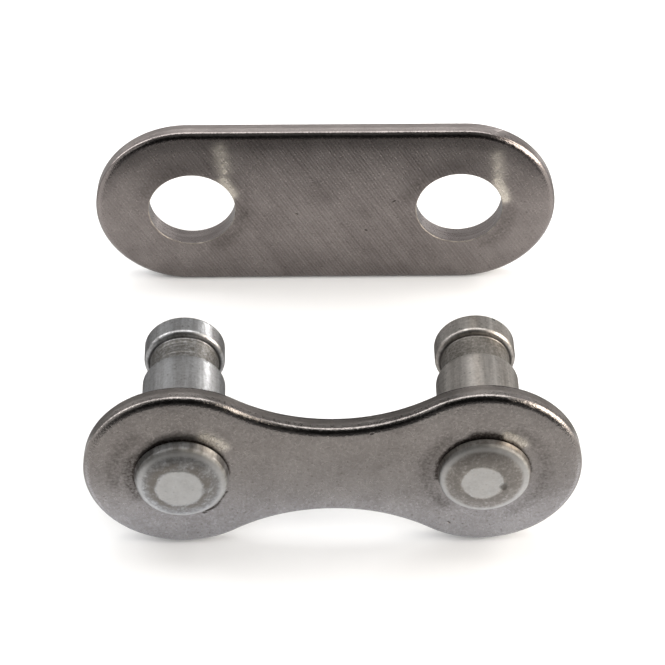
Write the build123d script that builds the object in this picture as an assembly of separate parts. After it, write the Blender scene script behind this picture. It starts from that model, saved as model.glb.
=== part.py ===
"""Connecting link for a half-inch-pitch roller chain, all sizes in millimetres.

A waisted outer plate carries two pins, peened over on its outside. Each pin has a plain
bearing length, a groove and a round head. A loose, straight-sided outer plate goes over
the heads and rests in the grooves. It stands off its seat, in line with the pins.

Frame: the origin lies midway between the two pin axes, on the inner face of the pin
plate. X runs along the chain, +Y along the pins to their free ends, +Z up across the
plates.
"""

import math
import os

from build123d import *

# Pin spacing, which every plate and pin follows
PITCH = 12.7

# Pin plate: two round ends about the pins, joined by a narrow waist
PIN_PLATE_THICKNESS = 0.95
PIN_PLATE_END_RADIUS = 4.14
PIN_PLATE_WAIST_WIDTH = 4.6
PIN_PLATE_OUTER_ROUNDING = 0.25
PIN_PLATE_INNER_CHAMFER = 0.1
PIN_HOLE_CHAMFER = 0.05

# Pins: bearing length, groove and head, from the inner face of the pin plate outwards
PIN_RADIUS = 1.79
BEARING_LENGTH = 4.55
SHOULDER_CHAMFER = 0.06
GROOVE_DEPTH = 0.31
GROOVE_WIDTH = 1.45
GROOVE_ROOT_CHAMFER = 0.08
HEAD_STEP = 0.03
HEAD_LENGTH = 1.1
HEAD_NEAR_ROUNDING = 0.17
HEAD_TIP_ROUNDING = 0.12

# Peened rivet heads on the outside of the pin plate, and the pin's swell in the hole behind them
RIVET_OVERHANG = 0.14
SWELL_IN_HOLE = 0.06
RIVET_WALL_HEIGHT_LEFT = 0.64
RIVET_WALL_HEIGHT_RIGHT = 0.47
RIVET_RIM_CHAMFER = 0.12
RIVET_CROWN_RISE = 0.25
RIVET_FLAT_RADIUS = 0.97

# Snap plate: straight sides, ends about the pins, and two holes set in towards the middle
SNAP_PLATE_THICKNESS = 0.95
SNAP_PLATE_END_RADIUS = 4.3
SNAP_PLATE_OUTER_ROUNDING = 0.25
SNAP_PLATE_INNER_CHAMFER = 0.1
HOLE_INSET = 0.15
HEAD_PASS_CLEARANCE = 0.09
HOLE_EDGE_CHAMFER = 0.05

# How far the snap plate stands off its seat at the groove shoulders
STAND_OFF = 12.1

# Sizes that follow from the ones above
HALF_PITCH = PITCH / 2
HEAD_RADIUS = PIN_RADIUS - HEAD_STEP
NECK_RADIUS = PIN_RADIUS - GROOVE_DEPTH
RIVET_RADIUS = PIN_RADIUS + RIVET_OVERHANG
SWELLED_RADIUS = PIN_RADIUS + SWELL_IN_HOLE
HEAD_START = BEARING_LENGTH + GROOVE_WIDTH
PIN_TIP = HEAD_START + HEAD_LENGTH
SNAP_HOLE_SPACING = PITCH - 2 * HOLE_INSET
SNAP_HOLE_RADIUS = HEAD_RADIUS + HOLE_INSET + HEAD_PASS_CLEARANCE


def waist_outline():
    """Closed outline of two end arcs with a tangent waist arc above and below."""
    half_waist = PIN_PLATE_WAIST_WIDTH / 2
    waist_arc_radius = (HALF_PITCH**2 + half_waist**2 - PIN_PLATE_END_RADIUS**2) / (
        2 * (PIN_PLATE_END_RADIUS - half_waist)
    )
    # the end arc runs round to the line that joins its centre to the waist arc's centre
    end_arc_angle = 180 - math.degrees(math.atan2(half_waist + waist_arc_radius, HALF_PITCH))
    with BuildLine(Plane.XZ) as outline:
        end_arc = CenterArc((HALF_PITCH, 0), PIN_PLATE_END_RADIUS, 0, end_arc_angle)
        TangentArc(end_arc @ 1, (0, half_waist), tangent=end_arc % 1)
        mirror(about=Plane.YZ)
        mirror(about=Plane.XY)
    return outline.line


def rim(faces, side):
    """Edges round the outside of the lowest (side 0) or highest (side -1) face along Y."""
    return faces.filter_by(Axis.Y).sort_by(Axis.Y)[side].outer_wire().edges()


def hole_edges(faces, side):
    """Edges of the round holes in the lowest (side 0) or highest (side -1) face along Y."""
    face = faces.filter_by(Axis.Y).sort_by(Axis.Y)[side]
    return ShapeList(edge for wire in face.inner_wires() for edge in wire.edges())


def pin_plate():
    """Waisted plate from y = 0 outwards to -Y, with a tight, slightly flared hole for each pin."""
    with BuildPart() as plate:
        with BuildSketch(Plane.XZ):
            add(waist_outline())
            make_face()
        extrude(amount=PIN_PLATE_THICKNESS)
        with Locations((-HALF_PITCH, 0, 0), (HALF_PITCH, 0, 0)):
            Cone(
                SWELLED_RADIUS,
                PIN_RADIUS,
                PIN_PLATE_THICKNESS,
                rotation=(-90, 0, 0),
                align=(Align.CENTER, Align.CENTER, Align.MAX),
                mode=Mode.SUBTRACT,
            )
        fillet(rim(plate.faces(), 0), PIN_PLATE_OUTER_ROUNDING)
        chamfer(rim(plate.faces(), -1), PIN_PLATE_INNER_CHAMFER)
        chamfer(hole_edges(plate.faces(), -1), PIN_HOLE_CHAMFER)
    return plate.part


def turned(corners, chamfers, roundings):
    """Solid of revolution about Y from (radius, y) corners, some of them cut or rounded."""
    with BuildPart() as body:
        with BuildSketch(Plane.XY):
            with BuildLine():
                Polyline(corners, close=True)
            make_face()
            for corner, length in chamfers:
                chamfer(vertices().sort_by_distance((*corner, 0))[0], length)
            for corner, radius in roundings:
                fillet(vertices().sort_by_distance((*corner, 0))[0], radius)
        revolve(axis=Axis.Y)
    return body.part


def pin(rivet_wall_height):
    """Pin about Y: rivet head, swelled seat in the plate, bearing length, groove and head."""
    outer_face = -PIN_PLATE_THICKNESS
    rivet_rim = outer_face - rivet_wall_height
    rivet_top = rivet_rim - RIVET_CROWN_RISE
    rivet_edge = (RIVET_RADIUS, rivet_rim)
    shoulder = (PIN_RADIUS, BEARING_LENGTH)
    groove_root = (NECK_RADIUS, HEAD_START)
    head_near = (HEAD_RADIUS, HEAD_START)
    head_tip = (HEAD_RADIUS, PIN_TIP)
    return turned(
        corners=[
            (0, rivet_top),
            (RIVET_FLAT_RADIUS, rivet_top),
            rivet_edge,
            (RIVET_RADIUS, outer_face),
            (SWELLED_RADIUS, outer_face),
            (PIN_RADIUS, 0),
            shoulder,
            (NECK_RADIUS, BEARING_LENGTH),
            groove_root,
            head_near,
            head_tip,
            (0, PIN_TIP),
        ],
        chamfers=[
            (rivet_edge, RIVET_RIM_CHAMFER),
            (shoulder, SHOULDER_CHAMFER),
            (groove_root, GROOVE_ROOT_CHAMFER),
        ],
        roundings=[(head_near, HEAD_NEAR_ROUNDING), (head_tip, HEAD_TIP_ROUNDING)],
    )


def snap_plate():
    """Straight-sided plate with round ends, off its seat by the stand-off."""
    inner_face = BEARING_LENGTH + STAND_OFF
    with BuildPart() as plate:
        with BuildSketch(Plane.XZ.offset(-inner_face)):
            SlotCenterToCenter(PITCH, 2 * SNAP_PLATE_END_RADIUS)
            with Locations((-SNAP_HOLE_SPACING / 2, 0), (SNAP_HOLE_SPACING / 2, 0)):
                Circle(SNAP_HOLE_RADIUS, mode=Mode.SUBTRACT)
        extrude(amount=-SNAP_PLATE_THICKNESS)
        fillet(rim(plate.faces(), 0), SNAP_PLATE_OUTER_ROUNDING)
        chamfer(rim(plate.faces(), -1), SNAP_PLATE_INNER_CHAMFER)
        for side in (0, -1):
            chamfer(hole_edges(plate.faces(), side), HOLE_EDGE_CHAMFER)
    return plate.part


NODES = {
    "pin_plate": pin_plate(),
    "pin_left": Pos(-HALF_PITCH, 0, 0) * pin(RIVET_WALL_HEIGHT_LEFT),
    "pin_right": Pos(HALF_PITCH, 0, 0) * pin(RIVET_WALL_HEIGHT_RIGHT),
    "snap_plate": snap_plate(),
}

os.makedirs("parts", exist_ok=True)
for name, solid in NODES.items():
    export_step(solid, f"parts/{name}.step")
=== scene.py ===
"""Chain connecting link: finished surfaces, floor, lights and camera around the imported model.

Sizes are in millimetres until a mesh is made, and every mesh is in metres.
"""

from __future__ import annotations

import logging
import math
from collections.abc import Iterable
from dataclasses import dataclass, replace
from enum import Enum
from typing import ClassVar

import bmesh
import bpy
import numpy as np
from mathutils import Matrix, Vector

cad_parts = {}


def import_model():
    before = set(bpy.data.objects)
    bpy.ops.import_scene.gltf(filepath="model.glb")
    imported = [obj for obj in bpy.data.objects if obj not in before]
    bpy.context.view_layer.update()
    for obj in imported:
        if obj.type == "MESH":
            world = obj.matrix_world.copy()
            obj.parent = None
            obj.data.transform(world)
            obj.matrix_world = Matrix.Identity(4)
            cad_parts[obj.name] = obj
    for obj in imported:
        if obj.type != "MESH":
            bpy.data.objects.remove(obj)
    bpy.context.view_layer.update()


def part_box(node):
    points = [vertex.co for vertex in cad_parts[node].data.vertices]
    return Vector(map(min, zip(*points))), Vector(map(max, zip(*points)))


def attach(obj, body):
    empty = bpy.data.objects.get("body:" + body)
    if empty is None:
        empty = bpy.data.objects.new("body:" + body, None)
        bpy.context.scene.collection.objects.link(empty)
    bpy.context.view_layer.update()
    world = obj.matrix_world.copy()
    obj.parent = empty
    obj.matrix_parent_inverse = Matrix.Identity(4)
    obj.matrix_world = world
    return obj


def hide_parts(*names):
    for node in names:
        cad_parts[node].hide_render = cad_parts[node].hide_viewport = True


LOG = logging.getLogger("connecting_link")
MM = 0.001
MERGE_DISTANCE = 2e-7
GRAIN_SPREAD = 0.12

Tree = bpy.types.NodeTree
Node = bpy.types.Node
Socket = bpy.types.NodeSocket
Term = float | Socket
Colour = tuple[float, float, float]
Place = tuple[float, float]


# Surfaces


@dataclass
class Surface:
    """Quads over an array of points in millimetres, with named values at the points."""

    points: np.ndarray
    quads: np.ndarray
    values: dict[str, np.ndarray]

    @staticmethod
    def from_grid(
        points: np.ndarray, values: dict[str, np.ndarray], flip: bool = False
    ) -> Surface:
        """Joins neighbouring points of a grid into quads, its last column to its first.

        A quad's normal is the step to the next row crossed with the step to the next column.

        Args:
            points: Grid of points, rows by columns by 3.
            values: Grids of point values, by name.
            flip: Whether the quads face the other way.

        Returns:
            The surface of the grid.
        """
        rows, columns = points.shape[:2]
        index = np.arange(rows * columns).reshape(rows, columns)
        index = np.concatenate([index, index[:, :1]], axis=1)
        corners = [index[:-1, :-1], index[1:, :-1], index[1:, 1:], index[:-1, 1:]]
        quads = np.stack(corners[::-1] if flip else corners, axis=-1).reshape(-1, 4)
        flat = {name: grid.reshape(-1) for name, grid in values.items()}
        return Surface(points.reshape(-1, 3), quads, flat)

    @staticmethod
    def joined(parts: list[Surface]) -> Surface:
        """Puts several surfaces into one, a value that a part lacks being nought there.

        Args:
            parts: The surfaces.

        Returns:
            One surface with the points and quads of all.
        """
        starts = np.cumsum([0] + [len(part.points) for part in parts[:-1]])
        names = sorted({name for part in parts for name in part.values})
        return Surface(
            np.concatenate([part.points for part in parts]),
            np.concatenate([part.quads + start for part, start in zip(parts, starts)]),
            {
                name: np.concatenate(
                    [part.values.get(name, np.zeros(len(part.points))) for part in parts]
                )
                for name in names
            },
        )

    def mirrored(self) -> Surface:
        """The same surface with x turned to -x, still facing outwards."""
        return Surface(self.points * (-1, 1, 1), self.quads[:, ::-1], self.values)

    def as_piece(self, name: str) -> bpy.types.Object:
        """Makes a Blender object of the surface, with seams and poles closed.

        Args:
            name: Name of the object and its mesh.

        Returns:
            The object, at the origin.
        """
        mesh = bpy.data.meshes.new(name)
        corners = len(self.quads) * 4
        mesh.vertices.add(len(self.points))
        mesh.vertices.foreach_set("co", (self.points * MM).astype(np.float32).ravel())
        mesh.loops.add(corners)
        mesh.loops.foreach_set("vertex_index", self.quads.astype(np.int32).ravel())
        mesh.polygons.add(len(self.quads))
        mesh.polygons.foreach_set("loop_start", np.arange(0, corners, 4, dtype=np.int32))
        for value_name, value in self.values.items():
            layer = mesh.attributes.new(value_name, "FLOAT", "POINT")
            layer.data.foreach_set("value", value.astype(np.float32))
        mesh.update(calc_edges=True)
        shell = bmesh.new()
        shell.from_mesh(mesh)
        bmesh.ops.remove_doubles(shell, verts=shell.verts, dist=MERGE_DISTANCE)
        bmesh.ops.recalc_face_normals(shell, faces=shell.faces)
        shell.to_mesh(mesh)
        shell.free()
        mesh.shade_smooth()
        piece = bpy.data.objects.new(name, mesh)
        bpy.context.scene.collection.objects.link(piece)
        return piece


def smooth_step(low: float, high: float, x: np.ndarray) -> np.ndarray:
    """Nought below low and one above high, with an S-shaped cubic between them."""
    t = np.clip((x - low) / (high - low), 0.0, 1.0)
    return t * t * (3.0 - 2.0 * t)


def fade(low: float, high: float, x: np.ndarray) -> np.ndarray:
    """One below low and nought above high, the smooth step's counterpart."""
    return 1.0 - smooth_step(low, high, x)


def bell(away: np.ndarray, width: float) -> np.ndarray:
    """A bell curve of a distance over a width, one where the distance is nought."""
    return np.exp(-((away / width) ** 2))


def upright(flat: np.ndarray, y: np.ndarray | float) -> np.ndarray:
    """Points in space from a grid of (x, z) and the y of each, or of each row."""
    return np.stack([flat[..., 0], np.broadcast_to(y, flat.shape[:-1]), flat[..., 1]], axis=-1)


def ripples(points: np.ndarray, wavelength: float, seed: int, waves: int = 28) -> np.ndarray:
    """Soft unevenness in space: a sum of plane waves in seeded random directions.

    Each wave is the sine of the point's distance along its direction over its wavelength,
    and wavelengths spread half an octave to each side of the one that is given.

    Args:
        points: Points in millimetres, the last axis being x, y and z.
        wavelength: Middle wavelength in millimetres.
        seed: Number that the directions, phases and wavelengths follow from.
        waves: How many waves are added.

    Returns:
        Values with a spread of about one.
    """
    draw = np.random.default_rng(seed)
    directions = draw.normal(size=(waves, 3))
    directions /= np.linalg.norm(directions, axis=1, keepdims=True)
    lengths = wavelength * 2.0 ** draw.uniform(-0.5, 0.5, waves)
    phases = draw.uniform(0.0, math.tau, waves)
    angles = points @ (directions * (math.tau / lengths)[:, None]).T + phases
    return np.sin(angles).sum(axis=-1) * math.sqrt(2.0 / waves)


def line(start: Place, end: Place, steps: int) -> np.ndarray:
    """Evenly spaced points from start up to, but not at, end."""
    t = np.arange(steps)[:, None] / steps
    return np.array(start) * (1.0 - t) + np.array(end) * t


def arc(
    centre: Place, radius: float, first: float, last: float, steps: int
) -> np.ndarray:
    """Points on a circle: the centre plus the radius times cosine and sine of an even angle.

    Args:
        centre: Centre of the circle.
        radius: Its radius.
        first: Angle of the first point, in degrees.
        last: Angle that the points run up to, but don't reach, in degrees.
        steps: How many points there are.

    Returns:
        Array of points, steps by 2.
    """
    angle = np.radians(first + (last - first) * np.arange(steps) / steps)
    return np.array(centre) + radius * np.stack([np.cos(angle), np.sin(angle)], axis=-1)


# Plates


@dataclass(frozen=True)
class StraightOutline:
    """Outline of a plate with straight sides and round ends."""

    half_pitch: float
    end_radius: float
    side_steps: int = 90
    end_steps: int = 220

    @property
    def half_width(self) -> float:
        """Half the plate's width in its middle."""
        return self.end_radius

    def half(self) -> tuple[np.ndarray, np.ndarray]:
        """Half the outline, from its lower middle round the right-hand end to its upper middle.

        The sides are even steps along x, and the end is the pin's centre plus the end radius
        times the cosine and sine of an angle.

        Returns:
            Points (x, z), and the outward normals there.
        """
        x = np.arange(self.side_steps) / self.side_steps * self.half_pitch
        side = np.stack([x, np.full_like(x, self.end_radius)], axis=-1)
        side_normals = np.tile((0.0, 1.0), (self.side_steps, 1))
        return end_and_sides(side, side_normals, self.half_pitch, self.end_radius, self.end_steps)

    def inside(self, x: np.ndarray, z: np.ndarray) -> np.ndarray:
        """How far points lie inside the outline: the end radius less their way to the mid-line.

        Args:
            x: Places along the chain.
            z: Places across it.

        Returns:
            Distance to the outline, above nought inside it.
        """
        return self.end_radius - np.hypot(np.maximum(np.abs(x) - self.half_pitch, 0.0), z)


@dataclass(frozen=True)
class WaistedOutline:
    """Outline of a plate whose round ends run into a narrow waist along two hollow arcs."""

    half_pitch: float
    end_radius: float
    half_width: float
    side_steps: int = 110
    end_steps: int = 260

    @property
    def hollow(self) -> float:
        """Radius of the hollow arc that touches the waist and both round ends."""
        squares = self.half_pitch**2 + self.half_width**2 - self.end_radius**2
        return squares / (2.0 * (self.end_radius - self.half_width))

    def half(self) -> tuple[np.ndarray, np.ndarray]:
        """Half the outline, from its lower middle round the right-hand end to its upper middle.

        The hollow arc's centre lies straight over the plate's middle, so far up that the arc
        touches both the waist's half width and the round end.

        Returns:
            Points (x, z), and the outward normals there.
        """
        hollow = self.hollow
        turn = math.atan2(self.half_pitch, self.half_width + hollow)
        angle = np.arange(self.side_steps) / self.side_steps * turn
        normals = np.stack([-np.sin(angle), np.cos(angle)], axis=-1)
        side = np.array((0.0, self.half_width + hollow)) - hollow * normals
        return end_and_sides(side, normals, self.half_pitch, self.end_radius, self.end_steps)

    def inside(self, x: np.ndarray, z: np.ndarray) -> np.ndarray:
        """How far points lie inside the outline, from the round end or from the hollow arc.

        A line from the hollow arc's centre to the pin parts the points that lie nearest to the
        one from those that lie nearest to the other.

        Args:
            x: Places along the chain.
            z: Places across it.

        Returns:
            Distance to the outline, above nought inside it.
        """
        x, z = np.abs(x), np.abs(z)
        rise = self.half_width + self.hollow
        from_end = self.end_radius - np.hypot(x - self.half_pitch, z)
        from_hollow = np.hypot(x, rise - z) - self.hollow
        return np.where(x * rise < (rise - z) * self.half_pitch, from_hollow, from_end)


def end_and_sides(
    side: np.ndarray,
    side_normals: np.ndarray,
    half_pitch: float,
    end_radius: float,
    end_steps: int,
) -> tuple[np.ndarray, np.ndarray]:
    """Closes a half outline: the lower side, the round end, and the upper side back.

    Args:
        side: Points of the upper side, from the middle up to, but not at, the round end.
        side_normals: Outward normals there.
        half_pitch: Where the round end's centre is.
        end_radius: The round end's radius.
        end_steps: How many steps go round the end.

    Returns:
        Points (x, z), and the outward normals there.
    """
    last = side_normals[-1] * 2.0 - side_normals[-2]
    reach = math.atan2(last[1], last[0])
    angle = np.linspace(-reach, reach, end_steps + 1)
    end_normals = np.stack([np.cos(angle), np.sin(angle)], axis=-1)
    end = np.array((half_pitch, 0.0)) + end_radius * end_normals
    return (
        np.concatenate([side * (1, -1), end, side[::-1]]),
        np.concatenate([side_normals * (1, -1), end_normals, side_normals[::-1]]),
    )


@dataclass(frozen=True)
class Rim:
    """How a plate's edge or a hole's edge is rounded, front and back, and how it is sheared."""

    front: float
    back: float
    shear: float = 0.0
    front_steps: int = 15
    wall_steps: int = 15
    back_steps: int = 6

    @property
    def back_inset(self) -> float:
        """How far the back face's border lies inside the edge."""
        return self.back + self.shear

    def profile(self, y_front: float, y_back: float) -> tuple[np.ndarray, dict[str, np.ndarray]]:
        """The edge's section: two quarter circles with the wall between them.

        The wall is upright for its front half, and runs inwards by the shear over its back half.

        Args:
            y_front: Where the front face is.
            y_back: Where the back face is.

        Returns:
            Points (depth into the plate from its edge, y) from front to back, and the values
            edge, which is one on a rounding, wall, which is one between them, and across, which
            grows from nought to one over the wall.
        """
        counts = (self.front_steps, self.wall_steps, self.back_steps + 2)
        across = np.arange(self.wall_steps) / self.wall_steps
        wall_y = y_front + self.front + across * (y_back - self.back - y_front - self.front)
        wall = np.stack([self.shear * np.maximum(across * 2.0 - 1.0, 0.0), wall_y], axis=-1)
        front = arc((self.front, y_front + self.front), self.front, 270, 180, self.front_steps)
        back_centre = (self.back_inset, y_back - self.back)
        back = arc(back_centre, self.back, 180, 90, self.back_steps + 1)
        end = np.array([[back_centre[0], y_back]])
        front_arch = np.sin(np.pi * np.arange(counts[0]) / counts[0])
        back_arch = np.sin(np.pi * np.arange(counts[2]) / (counts[2] - 1))
        ahead, level, behind = (np.zeros(count) for count in counts)
        values = {
            "edge": np.concatenate([front_arch, level, back_arch]),
            "wall": np.concatenate([ahead, level + 1.0, behind]),
            "across": np.concatenate([ahead, across, behind + 1.0]),
        }
        return np.concatenate([front, wall, back, end]), values


class MarkKind(Enum):
    """What a mark on a plate's front is."""

    WORN = "worn"
    SOILED = "soiled"


@dataclass(frozen=True)
class Streak:
    """A soft-edged straight mark on a plate's front, from one place (x, z) to another."""

    kind: MarkKind
    start: Place
    end: Place
    width: float
    strength: float = 1.0

    def share(self, points: np.ndarray) -> np.ndarray:
        """A bell curve of the distance from the streak's mid-line, over its width.

        Args:
            points: Points in millimetres.

        Returns:
            Share of the mark at each point, up to its strength.
        """
        flat = points[:, [0, 2]] - self.start
        run = np.subtract(self.end, self.start)
        along = np.clip(flat @ run / float(run @ run), 0.0, 1.0)
        away = np.linalg.norm(flat - along[:, None] * run, axis=1)
        return self.strength * bell(away, self.width)


@dataclass(frozen=True)
class Collar:
    """A soft-edged mark on a plate's front that runs round a hole, between two angles."""

    kind: MarkKind
    centre_x: float
    radius: float
    first: float
    last: float
    width: float
    strength: float = 1.0

    def share(self, points: np.ndarray) -> np.ndarray:
        """A bell curve of the distance from the arc, over the mark's width.

        Args:
            points: Points in millimetres.

        Returns:
            Share of the mark at each point, up to its strength.
        """
        x = points[:, 0] - self.centre_x
        turn = np.degrees(np.arctan2(points[:, 2], x)) - (self.first + self.last) / 2.0
        past = np.abs((turn + 180.0) % 360.0 - 180.0) - (self.last - self.first) / 2.0
        along = np.radians(np.maximum(past, 0.0)) * self.radius
        away = np.hypot(np.hypot(x, points[:, 2]) - self.radius, along)
        return self.strength * bell(away, self.width)


@dataclass
class Plate:
    """A punched plate with two holes, faces, a rounded edge and hole walls."""

    node: str
    body: str
    slot: str
    outline: StraightOutline | WaistedOutline
    rim: Rim
    hole_rim: Rim
    hole_x: float
    hole_radius: float
    hole_flare: float
    y_front: float
    y_back: float
    swell_height: float
    swell_width: float
    roll_depth: float
    roll_width: float
    wall_grain: float
    seed: int
    marks: tuple[Streak | Collar, ...] = ()
    wave_height: float = 0.004
    wave_length: float = 4.0
    wall_grain_length: float = 0.3
    front_reach: float = 1.2
    front_rows: int = 36
    back_rows: int = 10
    middle_steps: int = 60

    def near_border(self, points: np.ndarray) -> np.ndarray:
        """How near points are to the outline: one on it, nought past the strip that rolls off."""
        inside = self.outline.inside(points[..., 0], points[..., 2])
        return np.clip(1.0 - inside / self.roll_width, 0.0, 1.0)

    def relief(self, points: np.ndarray) -> np.ndarray:
        """How far the front face stands proud: a swell round each hole on long low waves.

        The swell falls off with the distance from the hole's edge to the power 1.5, and towards
        the outline the face rolls off by the square of its way into a border strip.

        Args:
            points: Points in millimetres.

        Returns:
            Height at each point.
        """
        away = np.hypot(np.abs(points[..., 0]) - self.hole_x, points[..., 2]) - self.hole_radius
        swell = self.swell_height * np.exp(-((np.maximum(away, 0.0) / self.swell_width) ** 1.5))
        waves = self.wave_height * ripples(points, self.wave_length, self.seed)
        return swell + waves - self.roll_depth * self.near_border(points) ** 2

    def spokes(self, inset: float) -> tuple[np.ndarray, np.ndarray]:
        """The lines from the right-hand hole's middle to the outline and the plate's middle.

        Args:
            inset: How far inside the outline the lines end.

        Returns:
            The way along each line (x, z), and its direction.
        """
        points, normals = self.outline.half()
        border = points - normals * inset
        z = np.linspace(border[-1, 1], border[0, 1], self.middle_steps + 1)[1:-1]
        border = np.concatenate([border, np.stack([np.zeros_like(z), z], axis=-1)])
        ways = border - (self.hole_x, 0.0)
        return ways, ways / np.linalg.norm(ways, axis=1, keepdims=True)

    def face(self, y: float, inset: float, hole_inset: float, rows: int, front: bool) -> Surface:
        """Half a face: straight lines run from the hole's edge to the outline and the middle.

        Args:
            y: Where the face is.
            inset: How far its border lies inside the outline.
            hole_inset: How far it starts outside the hole's radius.
            rows: Number of rows between the two.
            front: Whether it is the front face.

        Returns:
            The right-hand half of the face.
        """
        ways, directions = self.spokes(inset)
        start = directions * (self.hole_radius + hole_inset + (self.hole_flare if front else 0.0))
        # rows lie closer together at both borders
        t = ((1.0 - np.cos(np.pi * np.linspace(0.0, 1.0, rows + 1))) / 2.0)[:, None, None]
        flat = (self.hole_x, 0.0) + start * (1.0 - t) + ways * t
        return Surface.from_grid(upright(flat, y), {}, flip=not front)

    def edge(self) -> Surface:
        """The plate's edge: the rim's section carried along the whole outline.

        The sheared wall is pressed in by grain, which grows stronger from front to back.

        Returns:
            The edge, with the rim's values.
        """
        points, normals = self.outline.half()
        points = np.concatenate([points, points[-2:0:-1] * (-1, 1)])
        normals = np.concatenate([normals, normals[-2:0:-1] * (-1, 1)])
        section, values = self.rim.profile(self.y_front, self.y_back)
        grid = upright(points[None] - normals[None] * section[:, :1, None], section[:, 1:])
        rough = 0.5 + 0.25 * ripples(grid, self.wall_grain_length, self.seed + 1)
        torn = (values["wall"] * (0.3 + values["across"]))[:, None]
        grain = self.wall_grain * torn * np.clip(rough, 0.0, 1.0)
        grid[..., 0] -= grain * normals[:, 0]
        grid[..., 2] -= grain * normals[:, 1]
        spread = {k: np.repeat(v[:, None], len(points), axis=1) for k, v in values.items()}
        return Surface.from_grid(grid, spread)

    def hole(self) -> Surface:
        """The right-hand hole's wall: its section carried round the faces' own directions.

        Returns:
            The wall, marked as bore, and its rounded edges, marked as bore_edge.
        """
        section, values = self.hole_rim.profile(self.y_front, self.y_back)
        taper = (self.y_back - section[:, 1]) / (self.y_back - self.y_front)
        radius = self.hole_radius + section[:, 0] + self.hole_flare * taper
        # the columns turn gently from the front face's to the back face's
        front, back = (self.spokes(inset)[1] for inset in (self.rim.front, self.rim.back_inset))
        mix = np.linspace(0.0, 1.0, len(section))[:, None, None]
        around = front * (1.0 - mix) + back * mix
        around /= np.linalg.norm(around, axis=-1, keepdims=True)
        grid = upright((self.hole_x, 0.0) + radius[:, None, None] * around, section[:, 1:])
        bore = np.ones(grid.shape[:2])
        edge = bore * values["edge"][:, None]
        return Surface.from_grid(grid, {"bore": bore, "bore_edge": edge}, flip=True)

    def build(self) -> bpy.types.Object:
        """Joins faces, edge and holes, and marks the front and lifts it by its relief.

        Returns:
            The plate, riding on its body in place of its node.
        """
        rim, hole_rim = self.rim, self.hole_rim
        front = self.face(self.y_front, rim.front, hole_rim.front, self.front_rows, True)
        back = self.face(self.y_back, rim.back_inset, hole_rim.back, self.back_rows, False)
        right = Surface.joined([front, back, self.hole()])
        whole = Surface.joined([right, right.mirrored(), self.edge()])
        points = whole.points
        # marks and relief run out a little below the rounding of the front's edge
        share = fade(0.0, rim.front * self.front_reach, points[:, 1] - self.y_front)
        for kind in MarkKind:
            shares = [mark.share(points) for mark in self.marks if mark.kind is kind]
            whole.values[kind.value] = np.max([0.0 * share, *shares], axis=0) * share
        whole.values["border"] = self.near_border(points) * share
        points[:, 1] -= self.relief(points) * share
        piece = whole.as_piece(f"{self.node}_finished")
        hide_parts(self.node)
        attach(piece, self.body)
        return piece


# Pins


@dataclass(frozen=True)
class Peening:
    """How a pin's rivet end was hammered: its wall, rim, crown and disc.

    The disc's border falls by the disc step over the disc slant. The flank's foot stands out by
    the spread, and is tucked in by the tuck before it meets the plate.
    """

    wall: float
    radius: float
    rim_rounding: float
    disc_radius: float
    disc_shift: Place
    lift: float
    dent: float
    crown: float = 0.19
    crown_power: float = 1.6
    crown_steps: int = 36
    disc_border: float = 0.05
    disc_slant: float = 0.12
    disc_step: float = 0.02
    rim_start: float = 0.34
    rim_fall: float = 0.06
    rim_angles: Place = (-70.0, -4.0)
    spread: float = 0.04
    tuck: float = 0.05
    tuck_rise: float = 0.03


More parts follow.
